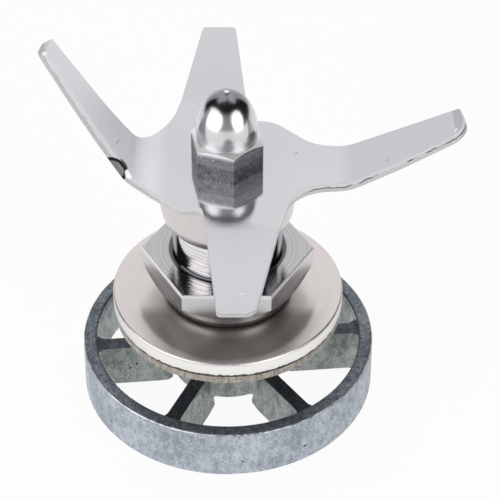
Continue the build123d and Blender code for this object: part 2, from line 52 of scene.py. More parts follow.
def begin_material(name):
    """A fresh material: itself, its node tree, its shader's inputs and its object coordinates."""
    material = bpy.data.materials.new(name)
    material.use_nodes = True
    tree = material.node_tree
    place = tree.nodes.new("ShaderNodeTexCoord").outputs["Object"]
    return material, tree, tree.nodes["Principled BSDF"].inputs, place


def feed(tree, socket, value):
    """Wire a socket to another one, or set it to a value."""
    if isinstance(value, bpy.types.NodeSocket):
        tree.links.new(value, socket)
    else:
        socket.default_value = value


def calc(tree, operation, *values):
    """One arithmetic node."""
    made = tree.nodes.new("ShaderNodeMath")
    made.operation = operation
    for socket, value in zip(made.inputs, values):
        feed(tree, socket, value)
    return made.outputs[0]


def fade(tree, value, start, end):
    """A smooth rise from 0 at one value to 1 at another."""
    made = tree.nodes.new("ShaderNodeMapRange")
    made.interpolation_type = "SMOOTHSTEP"
    feed(tree, made.inputs["Value"], value)
    feed(tree, made.inputs["From Min"], start)
    feed(tree, made.inputs["From Max"], end)
    return made.outputs["Result"]


def grain(tree, place, scale, detail=2.0, stretch=None):
    """Solid noise, in spots per metre, drawn out along the axes where a stretch is given."""
    if stretch:
        drawn = tree.nodes.new("ShaderNodeVectorMath")
        drawn.operation = "MULTIPLY"
        feed(tree, drawn.inputs[0], place)
        drawn.inputs[1].default_value = stretch
        place = drawn.outputs[0]
    made = tree.nodes.new("ShaderNodeTexNoise")
    made.inputs["Scale"].default_value = scale
    made.inputs["Detail"].default_value = detail
    feed(tree, made.inputs["Vector"], place)
    return made.outputs["Fac"]


def tint(tree, share, first, second):
    """A colour between two colours."""
    made = tree.nodes.new("ShaderNodeMix")
    made.data_type = "RGBA"
    feed(tree, made.inputs[0], share)
    feed(tree, made.inputs[6], first)
    feed(tree, made.inputs[7], second)
    return made.outputs[2]


def shade(tree, share, low, high):
    """A number between two numbers."""
    made = tree.nodes.new("ShaderNodeMapRange")
    feed(tree, made.inputs["Value"], share)
    feed(tree, made.inputs["To Min"], low)
    feed(tree, made.inputs["To Max"], high)
    return made.outputs["Result"]


def emboss(tree, inputs, height, depth):
    """Raise the surface by a height from 0 to 1 times a depth in metres."""
    bump = tree.nodes.new("ShaderNodeBump")
    bump.inputs["Distance"].default_value = depth
    feed(tree, bump.inputs["Height"], height)
    tree.links.new(bump.outputs["Normal"], inputs["Normal"])


def begin_group(name, takes, gives):
    """A node group with named sockets: a vector where the name is Place, else a number."""
    tree = bpy.data.node_groups.new(name, "ShaderNodeTree")
    for way, names in (("INPUT", takes), ("OUTPUT", gives)):
        for socket_name in names:
            kind = "NodeSocketVector" if socket_name == "Place" else "NodeSocketFloat"
            tree.interface.new_socket(socket_name, in_out=way, socket_type=kind)
    return tree, tree.nodes.new("NodeGroupInput").outputs, tree.nodes.new("NodeGroupOutput").inputs


def use_group(tree, group, values):
    """Place a group in a material and return its outputs."""
    made = tree.nodes.new("ShaderNodeGroup")
    made.node_tree = group
    for socket_name, value in values.items():
        feed(tree, made.inputs[socket_name], value)
    return made.outputs


def finish_node(node_name, material):
    """Give a CAD node its finish."""
    for slot in nodes[node_name].material_slots:
        slot.material = material


# Where a point lies about the spindle
about_spindle, takes, gives = begin_group("about_spindle", ["Place"], ["Radius", "Height", "Turn"])
parts = about_spindle.nodes.new("ShaderNodeSeparateXYZ")
feed(about_spindle, parts.inputs[0], takes["Place"])
square = calc(about_spindle, "MULTIPLY", parts.outputs["X"], parts.outputs["X"])
square = calc(about_spindle, "MULTIPLY_ADD", parts.outputs["Y"], parts.outputs["Y"], square)
feed(about_spindle, gives["Radius"], calc(about_spindle, "SQRT", square))
feed(about_spindle, gives["Height"], parts.outputs["Z"])
turn = calc(about_spindle, "ARCTAN2", parts.outputs["Y"], parts.outputs["X"])
feed(about_spindle, gives["Turn"], turn)

# Rubbing along a round edge, broken up by grain, which also serves as a painted highlight on the
# edge
RUB_HIGHLIGHT_GRAIN = 520
RUB_HIGHLIGHT_BREAK = 2.2
RUB_HIGHLIGHT_LIMITS = (1.8, 1.15)
edge_rub_and_highlight, takes, gives = begin_group(
    "edge_rub_and_highlight", ["Place", "Radius", "Height", "Edge Radius", "Edge Height", "Width"], ["Mask"])
out = calc(edge_rub_and_highlight, "SUBTRACT", takes["Radius"], takes["Edge Radius"])
up = calc(edge_rub_and_highlight, "SUBTRACT", takes["Height"], takes["Edge Height"])
away = calc(edge_rub_and_highlight, "MULTIPLY_ADD", up, up, calc(edge_rub_and_highlight, "MULTIPLY", out, out))
away = calc(edge_rub_and_highlight, "DIVIDE", calc(edge_rub_and_highlight, "SQRT", away), takes["Width"])
broken = grain(edge_rub_and_highlight, takes["Place"], RUB_HIGHLIGHT_GRAIN, 5)
broken = calc(edge_rub_and_highlight, "MULTIPLY_ADD", broken, RUB_HIGHLIGHT_BREAK, away)
feed(edge_rub_and_highlight, gives["Mask"], fade(edge_rub_and_highlight, broken, *RUB_HIGHLIGHT_LIMITS))

# Small pits and specks
SPECK_LEVEL = 0.86
SPECK_EDGE = 0.05
specks, takes, gives = begin_group("specks", ["Place", "Scale", "Amount"], ["Mask"])
spots = specks.nodes.new("ShaderNodeTexNoise")
spots.inputs["Detail"].default_value = 1.0
feed(specks, spots.inputs["Vector"], takes["Place"])
feed(specks, spots.inputs["Scale"], takes["Scale"])
limit = calc(specks, "SUBTRACT", SPECK_LEVEL, takes["Amount"])
full = calc(specks, "ADD", limit, SPECK_EDGE)
feed(specks, gives["Mask"], fade(specks, spots.outputs["Fac"], limit, full))

WALL_DRAFT = 0.00024
RIB_DROP = 0.0015
nut_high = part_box("retainer_nut")[1]
RIM_TOP = nut_high.z
RIM_R = nut_high.x - WALL_DRAFT
RIB_TOP = RIM_TOP - RIB_DROP
INSIDE_RIM = (RIM_R - 0.0022, RIM_R - 0.0032)
RIM_FACE = (RIM_TOP - 0.0006, RIM_TOP - 0.0001)
RIB_FACE = (RIB_TOP - 0.0003, RIB_TOP - 0.00005)
BELOW_RIM = (RIB_TOP + 0.0004, RIB_TOP + 0.0001)
RUB_HIGHLIGHT_R = RIM_R - 0.0001
RUB_HIGHLIGHT_TOP = RIM_TOP - 0.0002
RUB_HIGHLIGHT_WIDTH = 0.00026
PIT_DEPTH = 0.00009
material, tree, shader, place = begin_material("die_cast_zinc")
spot = use_group(tree, about_spindle, {"Place": place})
patches = grain(tree, place, 120, 6)
flow = grain(tree, place, 700, 4, (1, 1, 0.6))
salt = grain(tree, place, 2400, 2)
mottle = calc(tree, "MULTIPLY_ADD", patches, 0.24, calc(tree, "MULTIPLY", flow, 0.36))
mottle = fade(tree, calc(tree, "MULTIPLY_ADD", salt, 0.4, mottle), 0.36, 0.66)
skin = tint(tree, mottle, (0.275, 0.31, 0.36, 1), (0.57, 0.61, 0.67, 1))
inner_skin = tint(tree, mottle, (0.20, 0.23, 0.215, 1), (0.44, 0.47, 0.44, 1))
# Painted reflection: the upper faces of the rim and ribs get darker copies of the skin, for the
# dark parts they mirror.
rim_top_painted_dark = tint(tree, mottle, (0.085, 0.10, 0.115, 1), (0.24, 0.275, 0.31, 1))
rib_top_painted_dark = tint(tree, mottle, (0.035, 0.045, 0.055, 1), (0.12, 0.135, 0.155, 1))
inner = fade(tree, spot["Radius"], *INSIDE_RIM)
rim_face = fade(tree, spot["Height"], *RIM_FACE)
below_rim = fade(tree, spot["Height"], *BELOW_RIM)
rib_face = calc(tree, "MULTIPLY", fade(tree, spot["Height"], *RIB_FACE), below_rim)
rib_face = calc(tree, "MULTIPLY", rib_face, inner)
skin = tint(tree, calc(tree, "MULTIPLY", inner, 0.85), skin, inner_skin)
skin = tint(tree, rim_face, skin, rim_top_painted_dark)
skin = tint(tree, rib_face, skin, rib_top_painted_dark)
# The rim's outer edge is tinted bright: partly rubbed metal, partly a painted highlight on the
# rounded edge.
rubbed_and_highlight = use_group(tree, edge_rub_and_highlight, {
    "Place": place, "Radius": spot["Radius"], "Height": spot["Height"],
    "Edge Radius": RUB_HIGHLIGHT_R, "Edge Height": RUB_HIGHLIGHT_TOP, "Width": RUB_HIGHLIGHT_WIDTH})["Mask"]
pits = use_group(tree, specks, {"Place": place, "Scale": 620, "Amount": 0.1})["Mask"]
skin = tint(tree, pits, skin, (0.05, 0.055, 0.06, 1))
feed(tree, shader["Base Color"], tint(tree, rubbed_and_highlight, skin, (0.70, 0.73, 0.77, 1)))
shader["Metallic"].default_value = 0.75
feed(tree, shader["Roughness"], shade(tree, mottle, 0.52, 0.36))
relief = calc(tree, "MULTIPLY_ADD", flow, 0.6, calc(tree, "MULTIPLY", salt, 0.4))
emboss(tree, shader, calc(tree, "SUBTRACT", relief, pits), PIT_DEPTH)
finish_node("retainer_nut", material)

# Gasket. A flat ring punched from beige fibre sheet, with a fuzzy cut edge; it lies loose on the
# shank between the flange disc and the floor of the jar.
FIBRE_DEPTH = 0.00012
material, tree, shader, place = begin_material("gasket_fibre")
fibres = grain(tree, place, 900, 4, (1, 1, 3))
ticks = grain(tree, place, 3200, 2, (1, 1, 0.10))
fibre_tone = calc(tree, "MULTIPLY_ADD", ticks, 0.5, calc(tree, "MULTIPLY", fibres, 0.5))
feed(tree, shader["Base Color"], tint(
    tree, fade(tree, fibre_tone, 0.36, 0.62), (0.24, 0.22, 0.185, 1), (0.50, 0.465, 0.41, 1)))
shader["Roughness"].default_value = 0.75
emboss(tree, shader, fibre_tone, FIBRE_DEPTH)
finish_node("gasket", material)

# Flange disc. Turned from steel and nickel plated, pressed on the shank under the O-ring step.
# The plating is warm and satin, with faint turning rings and a few specks. A dark patch on the
# front is a painted reflection of the hexagon and neck above it, the side band is a painted
# highlight, and a dark ragged band along the lower edge is a painted shadow of the gap above
# the gasket.

# Fine lines left by a cutting tool, across one coordinate
tool_lines, takes, gives = begin_group("tool_lines", ["Across", "Pitch"], ["Lines", "Bands"])
count = calc(tool_lines, "DIVIDE", takes["Across"], takes["Pitch"])
for output, share in (("Lines", 1.0), ("Bands", 0.13)):
    made = tool_lines.nodes.new("ShaderNodeTexNoise")
    made.noise_dimensions = "1D"
    made.inputs["Scale"].default_value = 1.0
    made.inputs["Detail"].default_value = 2.0
    feed(tool_lines, made.inputs["W"], calc(tool_lines, "MULTIPLY", count, share))
    feed(tool_lines, gives[output], made.outputs["Fac"])

flange_low, flange_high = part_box("flange_disc")
RING_PITCH = 0.00018
RING_DEPTH = 0.000005
SIDE_BAND = (flange_high.z - 0.0003, flange_high.z - 0.0009)
REFLECTION_CENTRE_Y = -0.0048
REFLECTION_R = (0.0192, 0.0180)
REFLECTION_WANDER = 0.001
REFLECTION_FRONT = (-0.0056, -0.0100)
REFLECTION_MIDDLE_FADE = (0.0095, 0.0025)
GAP_SHADOW_WANDER = 0.0009
GAP_SHADOW_BAND = (flange_low.z + 0.00122, flange_low.z + 0.00108)
material, tree, shader, place = begin_material("nickel_plate")
spot = use_group(tree, about_spindle, {"Place": place})
rings = use_group(tree, tool_lines, {"Across": spot["Radius"], "Pitch": RING_PITCH})
cloud = grain(tree, place, 130, 3)
flecks = use_group(tree, specks, {"Place": place, "Scale": 900, "Amount": 0.06})["Mask"]
plate = tint(tree, cloud, (0.66, 0.615, 0.605, 1), (0.73, 0.68, 0.67, 1))
on_side = fade(tree, spot["Height"], *SIDE_BAND)
# Painted reflection: a dark patch on the front of the top face, for the mirrored hexagon and neck,
# weaker in the middle.
cross = tree.nodes.new("ShaderNodeSeparateXYZ")
feed(tree, cross.inputs[0], place)
forward = calc(tree, "SUBTRACT", cross.outputs["Y"], REFLECTION_CENTRE_Y)
reach = calc(tree, "MULTIPLY", cross.outputs["X"], cross.outputs["X"])
reach = calc(tree, "SQRT", calc(tree, "MULTIPLY_ADD", forward, forward, reach))
painted_reflection = fade(tree, calc(tree, "MULTIPLY_ADD", cloud, REFLECTION_WANDER, reach), *REFLECTION_R)
painted_reflection = calc(tree, "MULTIPLY", painted_reflection, fade(tree, cross.outputs["Y"], *REFLECTION_FRONT))
thin_middle = fade(tree, calc(tree, "ABSOLUTE", cross.outputs["X"]), *REFLECTION_MIDDLE_FADE)
painted_reflection = calc(tree, "MULTIPLY", painted_reflection, shade(tree, thin_middle, 0.9, 0.6))
plate = tint(tree, painted_reflection, plate, (0.31, 0.30, 0.27, 1))
# Painted highlight: the side band of the flange is made near white.
plate = tint(tree, on_side, plate, (0.95, 0.94, 0.92, 1))
# Painted shadow: a dark, non-metal ragged band along the lower edge, where the gap above the gasket
# lies in shade.
ragged = grain(tree, place, 900, 3, (1, 1, 0.2))
gap_shadow = calc(tree, "MULTIPLY_ADD", ragged, GAP_SHADOW_WANDER, spot["Height"])
gap_shadow = fade(tree, gap_shadow, *GAP_SHADOW_BAND)
plate = tint(tree, gap_shadow, plate, (0.05, 0.04, 0.03, 1))
feed(tree, shader["Base Color"], tint(tree, flecks, plate, (0.24, 0.21, 0.19, 1)))
feed(tree, shader["Metallic"], calc(tree, "SUBTRACT", 1.0, gap_shadow))
feed(tree, shader["Roughness"], shade(tree, rings["Bands"], 0.30, 0.40))
emboss(tree, shader, calc(tree, "MULTIPLY_ADD", rings["Lines"], 0.5, flecks), RING_DEPTH)
finish_node("flange_disc", material)

# O-ring and lip seal. Moulded black rubber, squeezed between steel faces; dull, with a little
# dust on the ring where it shows.
DUST_DEPTH = 0.00003
material, tree, shader, place = begin_material("black_rubber")
dust = grain(tree, place, 700, 4)
feed(tree, shader["Base Color"], tint(
    tree, fade(tree, dust, 0.45, 0.75), (0.012, 0.011, 0.011, 1), (0.05, 0.046, 0.042, 1)))
feed(tree, shader["Roughness"], shade(tree, dust, 0.35, 0.6))
emboss(tree, shader, dust, DUST_DEPTH)
for name in ("o_ring", "lip_seal"):
    finish_node(name, material)

# Bearing housing. Tower, hexagon, shank and stem turned from one bar of stainless steel, bright
# from the tool: rings on the faces, lines round the tower, and a cut thread on the stem.
JOIN_WITHIN = 0.000002


def show_only(piece):
    """Select one object and make it the active one."""
    bpy.ops.object.select_all(action="DESELECT")
    piece.select_set(True)
    bpy.context.view_layer.objects.active = piece


def copy_node(node_name, piece_name):
    """A copy of a CAD node as a piece of its own, with its loose triangles joined."""
    piece = nodes[node_name].copy()
    piece.data = nodes[node_name].data.copy()
    piece.name = piece_name
    for key in list(piece.keys()):
        del piece[key]
    piece.parent = None
    bpy.context.scene.collection.objects.link(piece)
    show_only(piece)
    bpy.ops.object.mode_set(mode="EDIT")
    bpy.ops.mesh.select_all(action="SELECT")
    bpy.ops.mesh.remove_doubles(threshold=JOIN_WITHIN)
    bpy.ops.object.mode_set(mode="OBJECT")
    bpy.ops.mesh.customdata_custom_splitnormals_clear()
    return piece


def level_flats(piece, sharp_from):
    """Smooth the rounds of the active piece and keep its flats flat."""
    bpy.ops.object.shade_smooth_by_angle(angle=radians(sharp_from))
    level = piece.modifiers.new("level_flats", "WEIGHTED_NORMAL")
    level.keep_sharp = True
    bpy.ops.object.modifier_apply(modifier=level.name)


housing_low, housing_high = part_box("bearing_housing")
TOWER_R = 0.01125
TOWER_HEIGHT = 0.017
HEX_TOP = housing_high.z - TOWER_HEIGHT
STEM_R = 0.0095
STEM_CHAMFER = 0.0007
NEAR_STEM = 0.0002
UPRIGHT = 0.01
HOUSING_SHARP = 35
END_MARGIN = 0.01
THREAD_FOOT = housing_low.z + STEM_CHAMFER
THREAD_TOP = 0.01005
THREAD_PITCH = 0.0015
THREAD_DEPTH = 0.0006
CUTS_PER_TURN = 8
threaded_housing = copy_node("bearing_housing", "threaded_housing")
mesh = threaded_housing.data
step = THREAD_PITCH / CUTS_PER_TURN
for number in range(1, int((THREAD_TOP - THREAD_FOOT) / step) + 1):
    for face in mesh.polygons:
        spot = face.center
        on_stem = abs(spot.xy.length - STEM_R) < NEAR_STEM and THREAD_FOOT < spot.z < THREAD_TOP
        face.select = on_stem and abs(face.normal.z) < UPRIGHT
    bpy.ops.object.mode_set(mode="EDIT")
    bpy.ops.mesh.select_mode(type="FACE")
    bpy.ops.mesh.bisect(plane_co=(0, 0, THREAD_FOOT + number * step), plane_no=(0, 0, 1))
    bpy.ops.object.mode_set(mode="OBJECT")
for vertex in mesh.vertices:
    spot = vertex.co
    inside = min(spot.z - THREAD_FOOT, THREAD_TOP - spot.z) / THREAD_PITCH
    if inside > END_MARGIN and abs(spot.xy.length - STEM_R) < NEAR_STEM:
        turn = (spot.z / THREAD_PITCH - atan2(spot.y, spot.x) / tau) % 1
        groove = THREAD_DEPTH * (1 - abs(2 * turn - 1)) * min(1, inside)
        spot.xy *= 1 - groove / STEM_R
level_flats(threaded_housing, HOUSING_SHARP)

FACE_PITCH = 0.0004
TOWER_PITCH = 0.0003
CUT_DEPTH = 0.000012
TOWER_WALL = (TOWER_R + 0.0003, TOWER_R + 0.0001)
HEX_SIDE = (HEX_TOP - 0.0004, HEX_TOP - 0.0006)
ROOT_ABOVE = (HEX_TOP + 0.0009, HEX_TOP + 0.0004)
ROOT_BELOW = (HEX_TOP - 0.001, HEX_TOP - 0.0005)
ROOT_WIDTH = (TOWER_R + 0.0012, TOWER_R + 0.0006)
EDGE_FOOT = (HEX_TOP - 0.0007, HEX_TOP - 0.0005)
EDGE_TOP = (HEX_TOP - 0.00001, HEX_TOP - 0.00004)
EDGE_R = (0.0125, 0.0135)
material, tree, shader, place = begin_material("turned_stainless")
spot = use_group(tree, about_spindle, {"Place": place})
rings = use_group(tree, tool_lines, {"Across": spot["Radius"], "Pitch": FACE_PITCH})
rounds = use_group(tree, tool_lines, {"Across": spot["Height"], "Pitch": TOWER_PITCH})
on_tower = fade(tree, spot["Radius"], *TOWER_WALL)
below_hex = fade(tree, spot["Height"], *HEX_SIDE)
on_face = calc(tree, "SUBTRACT", calc(tree, "SUBTRACT", 1.0, on_tower), below_hex)
on_face = calc(tree, "MAXIMUM", on_face, 0.0)
steel_tone = grain(tree, place, 180, 3)
steel = tint(tree, steel_tone, (0.70, 0.68, 0.675, 1), (0.80, 0.785, 0.78, 1))
face_tone = tint(tree, rings["Lines"], (0.36, 0.355, 0.37, 1), (0.60, 0.59, 0.61, 1))
steel = tint(tree, fade(tree, rounds["Lines"], 0.52, 0.70), steel, (0.42, 0.41, 0.415, 1))
steel = tint(tree, below_hex, steel, tint(
    tree, rounds["Bands"], (0.56, 0.545, 0.545, 1), (0.68, 0.665, 0.665, 1)))
steel = tint(tree, on_face, steel, face_tone)
# Painted shade: a dark ring in the corner where the tower meets the top of the hexagon.
root = calc(tree, "MULTIPLY", fade(tree, spot["Height"], *ROOT_ABOVE), fade(
    tree, spot["Radius"], *ROOT_WIDTH))
root = calc(tree, "MULTIPLY", root, fade(tree, spot["Height"], *ROOT_BELOW))
steel = tint(tree, root, steel, (0.10, 0.10, 0.11, 1))
# Painted highlight: a pale, duller band along the top edge of the hexagon.
edge = calc(tree, "MULTIPLY", fade(tree, spot["Height"], *EDGE_FOOT), fade(
    tree, spot["Height"], *EDGE_TOP))
edge = calc(tree, "MULTIPLY", edge, fade(tree, spot["Radius"], *EDGE_R))
feed(tree, shader["Base Color"], tint(tree, edge, steel, (0.86, 0.85, 0.86, 1)))
shader["Metallic"].default_value = 1.0
polish = shade(tree, rounds["Bands"], 0.05, 0.13)
polish = calc(tree, "MULTIPLY_ADD", below_hex, 0.16, polish)
feed(tree, shader["Roughness"], calc(tree, "MULTIPLY_ADD", edge, 0.5, polish))
cut = calc(tree, "MULTIPLY", rings["Lines"], on_face)
cut = calc(tree, "MULTIPLY_ADD", calc(tree, "MULTIPLY", rounds["Lines"], on_tower), 0.6, cut)
emboss(tree, shader, cut, CUT_DEPTH)
threaded_housing.data.materials.clear()
threaded_housing.data.materials.append(material)
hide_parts("bearing_housing")
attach(threaded_housing, "housing_body")

# Ball bearings, snap ring and garter spring. Ground chrome steel races and balls, pressed steel
# shields, drilled brass cages, blued spring steel; all of it oiled and shut in the tower.
CLOUD_DEPTH = 0.00001


def plain_metal(name, dark, light, rough, scale):
    """A metal with a cloudy tone and an uneven polish."""
    material, tree, shader, place = begin_material(name)
    cloud = grain(tree, place, scale, 4)
    patchy = fade(tree, cloud, 0.3, 0.7)
    feed(tree, shader["Base Color"], tint(tree, patchy, (*dark, 1), (*light, 1)))
    shader["Metallic"].default_value = 1.0
    feed(tree, shader["Roughness"], shade(tree, cloud, rough * 0.7, rough * 1.3))
    emboss(tree, shader, cloud, CLOUD_DEPTH)
    return material


bearing_steel = plain_metal("bearing_steel", (0.50, 0.50, 0.50), (0.64, 0.63, 0.62), 0.15, 900)
cage_brass = plain_metal("cage_brass", (0.55, 0.40, 0.16), (0.70, 0.53, 0.24), 0.3, 900)
spring_steel = plain_metal("spring_steel", (0.22, 0.23, 0.26), (0.36, 0.36, 0.38), 0.3, 900)
for level in ("lower", "upper"):
    for name in ("inner_race", "outer_race", "top_shield", "bottom_shield", "balls"):
        finish_node(f"{level}_{name}", bearing_steel)
    finish_node(f"{level}_cage", cage_brass)
for name in ("housing_circlip", "seal_spring"):
    finish_node(name, spring_steel)

# Spindle and spacer. Turned and ground from alloy steel, splined at the foot for the drive,
# with a thin film of old oil.
spindle_steel = plain_metal("spindle_steel", (0.40, 0.38, 0.35), (0.56, 0.54, 0.51), 0.25, 500)
for name in ("drive_shaft", "spacer_sleeve"):
    finish_node(name, spindle_steel)

# Slinger cap. A turned stainless cap that spins with the blade and throws liquid off the seal;
# fine turning lines run round it, and the finish is satin.
CAP_PITCH = 0.0002
CAP_DEPTH = 0.000006
material, tree, shader, place = begin_material("cap_stainless")
spot = use_group(tree, about_spindle, {"Place": place})
rounds = use_group(tree, tool_lines, {"Across": spot["Height"], "Pitch": CAP_PITCH})
cloud = grain(tree, place, 260, 4)
satin = tint(tree, cloud, (0.58, 0.555, 0.55, 1), (0.70, 0.675, 0.665, 1))
feed(tree, shader["Base Color"], satin)
shader["Metallic"].default_value = 1.0
uneven = calc(tree, "MULTIPLY", rounds["Bands"], cloud)
feed(tree, shader["Roughness"], shade(tree, uneven, 0.22, 0.5))
emboss(tree, shader, rounds["Lines"], CAP_DEPTH)
finish_node("slinger_cap", material)

# Blade. Four arms punched from 2 mm stainless sheet, polished, then bent; it sits on two flats of
# the spindle. The punched rim has a burnished upper band and a torn lower band below a ragged line.
BLADE_SHARP = 25
blade_plate = copy_node("blade", "blade_plate")
level_flats(blade_plate, BLADE_SHARP)

# Depth through the sheet: 0 on the upper face, 1 on the lower face, between them on the rim
FACE_TILT = 0.3
OUTWARD = 0.2
mesh = blade_plate.data
depth = mesh.attributes.new("sheet_depth", "FLOAT", "POINT")
for face in mesh.polygons:
    spot = face.center
    outward = face.normal.x if abs(spot.x) > abs(spot.y) else face.normal.y
    outward = outward if max(spot.x, spot.y, key=abs) > 0 else -outward
    if face.normal.z < -FACE_TILT and outward > -OUTWARD:
        for corner in face.vertices:
            depth.data[corner].value = 1.0


def from_line(tree, place, start, end):
    """How far a point lies from a line between two points."""
    along = Vector(end) - Vector(start)
    away = tree.nodes.new("ShaderNodeVectorMath")
    away.operation = "SUBTRACT"
    feed(tree, away.inputs[0], place)
    away.inputs[1].default_value = start
    share = tree.nodes.new("ShaderNodeVectorMath")
    share.operation = "DOT_PRODUCT"
    feed(tree, share.inputs[0], away.outputs[0])
    share.inputs[1].default_value = along / along.length_squared
    share = calc(tree, "MINIMUM", calc(tree, "MAXIMUM", share.outputs["Value"], 0.0), 1.0)
    nearest = tree.nodes.new("ShaderNodeVectorMath")
    nearest.operation = "SCALE"
    nearest.inputs[0].default_value = along
    feed(tree, nearest.inputs["Scale"], share)
    gap = tree.nodes.new("ShaderNodeVectorMath")
    gap.operation = "DISTANCE"
    feed(tree, gap.inputs[0], away.outputs[0])
    feed(tree, gap.inputs[1], nearest.outputs[0])
    return gap.outputs["Value"]


# Along X and Y, where each arm's painted tone, torn line and own polish start and are full
LEFT_ARM = (-0.0115, -0.0150)
RIGHT_ARM = (0.0215, 0.0255)
RIGHT_TIP = (0.04385, 0.04395)
LONG_ARMS = (0.0130, 0.0165)
SHORT_ARMS = (0.0175, 0.0220)
FRONT_BEND_IN = (-0.0175, -0.0205)
FRONT_BEND_OUT = (-0.0275, -0.0225)
TORN_DEPTH = 0.000006
material, tree, shader, place = begin_material("blade_steel")
cross = tree.nodes.new("ShaderNodeSeparateXYZ")
feed(tree, cross.inputs[0], place)
on_left = fade(tree, cross.outputs["X"], *LEFT_ARM)
on_right = fade(tree, cross.outputs["X"], *RIGHT_ARM)
on_tip = fade(tree, cross.outputs["X"], *RIGHT_TIP)
through = tree.nodes.new("ShaderNodeAttribute")
through.attribute_name = "sheet_depth"
through = through.outputs["Fac"]
brush = grain(tree, place, 300, 4, (1, 9, 9))
wave = grain(tree, place, 45, 2)
scratches = grain(tree, place, 900, 2, (0.12, 1, 1))
scratch = fade(tree, scratches, 0.70, 0.76)
face_tone = tint(tree, wave, (0.645, 0.635, 0.68, 1), (0.695, 0.685, 0.72, 1))
# Painted light: the right arm is darker and its tip darker still, the left arm lighter and less
# metallic, for how each bent arm catches the light; the dark tip stands in for a facet's shade.
face_tone = tint(tree, on_right, face_tone, (0.59, 0.58, 0.62, 1))
face_tone = tint(tree, on_left, face_tone, (0.82, 0.81, 0.85, 1))
face_tone = tint(tree, on_tip, face_tone, (0.46, 0.45, 0.48, 1))
face_tone = tint(tree, calc(tree, "MULTIPLY", scratch, 0.25), face_tone, (0.45, 0.44, 0.47, 1))
rag = grain(tree, place, 700, 4)
torn_at = calc(tree, "MULTIPLY_ADD", rag, 0.40, 0.30)
below = calc(tree, "SUBTRACT", through, torn_at)
torn_line = calc(tree, "MULTIPLY", fade(tree, below, -0.09, 0.0), fade(tree, below, 0.12, 0.03))
torn_line = calc(tree, "MULTIPLY", torn_line, shade(tree, on_left, 1.0, 0.2))
along_long = fade(tree, calc(tree, "ABSOLUTE", cross.outputs["X"]), *LONG_ARMS)
along_short = fade(tree, calc(tree, "ABSOLUTE", cross.outputs["Y"]), *SHORT_ARMS)
torn_line = calc(tree, "MULTIPLY", torn_line, calc(
    tree, "MAXIMUM", along_long, calc(tree, "MULTIPLY", along_short, 0.3)))
torn_line = calc(tree, "MULTIPLY", torn_line, fade(tree, grain(tree, place, 260, 3), 0.36, 0.5))
on_rim = calc(tree, "MULTIPLY", fade(tree, through, 0.002, 0.03), fade(tree, through, 0.998, 0.97))
torn = calc(tree, "MULTIPLY", fade(tree, below, 0.0, 0.08), on_rim)
upper_line = calc(tree, "MULTIPLY", fade(tree, through, 0.012, 0.05), fade(
    tree, through, 0.13, 0.06))
rim_tone = tint(tree, torn, (0.66, 0.65, 0.67, 1), (0.60, 0.59, 0.60, 1))
face_tone = tint(tree, on_rim, face_tone, rim_tone)
face_tone = tint(tree, calc(tree, "MULTIPLY", upper_line, 0.18), face_tone, (0.2, 0.2, 0.22, 1))
face_tone = tint(tree, calc(tree, "MULTIPLY", torn_line, on_rim), face_tone, (0.03, 0.03, 0.035, 1))

# Marks: a dark crescent on the front edge of the left bend, a painted reflection, with a white
# painted highlight beside it; a few fine lines; a painted glint at the right tip
CRESCENT_LINE = ((-0.0217, -0.0064, 0.0592), (-0.0221, -0.0064, 0.0598))
CRESCENT_INNER = (0.0021, 0.0017)
CRESCENT_RIM_IN = (0.0017, 0.0020)
CRESCENT_RIM_OUT = (0.0028, 0.0025)
# Painted reflection: a grey crescent with a near-black rim on the front edge of the left bend.
crescent_reflection = from_line(tree, place, *CRESCENT_LINE)
crescent_rim = calc(tree, "MULTIPLY", fade(tree, crescent_reflection, *CRESCENT_RIM_IN), fade(
    tree, crescent_reflection, *CRESCENT_RIM_OUT))
face_tone = tint(tree, fade(tree, crescent_reflection, *CRESCENT_INNER), face_tone, (0.27, 0.27, 0.28, 1))
face_tone = tint(tree, crescent_rim, face_tone, (0.008, 0.008, 0.01, 1))
for start, end, width, tone in (
        # Painted highlight: the white nick beside the crescent.
        ((-0.0190, -0.0066, 0.0591), (-0.0190, -0.0067, 0.0581), 0.0008, (0.95, 0.95, 0.95, 1)),
        ((-0.0213, -0.0032, 0.0634), (-0.0209, -0.0010, 0.0628), 0.00016, (0.62, 0.36, 0.32, 1)),
        ((0.0028, -0.0372, 0.0547), (0.0037, -0.0370, 0.0548), 0.00011, (0.95, 0.95, 0.95, 1)),
        ((0.0310, -0.0042, 0.0604), (0.0312, -0.0041, 0.0605), 0.00022, (0.30, 0.30, 0.32, 1)),
        ((0.0136, 0.0031, 0.0566), (0.0139, 0.0033, 0.0566), 0.0002, (0.30, 0.30, 0.32, 1)),
        # Painted glint: a white line where the darker tip begins.
        ((0.0439, -0.0036, 0.0669), (0.0441, -0.0028, 0.0671), 0.0002, (0.95, 0.95, 0.95, 1))):
    mark = from_line(tree, place, start, end)
    face_tone = tint(tree, fade(tree, mark, width, width * 0.5), face_tone, tone)
feed(tree, shader["Base Color"], face_tone)
feed(tree, shader["Metallic"], shade(tree, on_left, 0.82, 0.7))
polish = shade(tree, brush, 0.05, 0.11)
front_bend = calc(tree, "MULTIPLY", fade(tree, cross.outputs["Y"], *FRONT_BEND_IN), fade(
    tree, cross.outputs["Y"], *FRONT_BEND_OUT))
polish = calc(tree, "MULTIPLY_ADD", along_short, 0.16, polish)
polish = calc(tree, "MULTIPLY_ADD", front_bend, 0.08, polish)
polish = calc(tree, "MULTIPLY_ADD", on_left, 0.28, polish)
feed(tree, shader["Roughness"], calc(tree, "MULTIPLY_ADD", torn, 0.35, calc(
    tree, "MULTIPLY_ADD", on_rim, 0.15, polish)))
relief = calc(tree, "MULTIPLY_ADD", calc(tree, "MULTIPLY", rag, torn), 8.0, calc(
    tree, "MULTIPLY", brush, 0.1))
emboss(tree, shader, relief, TORN_DEPTH)
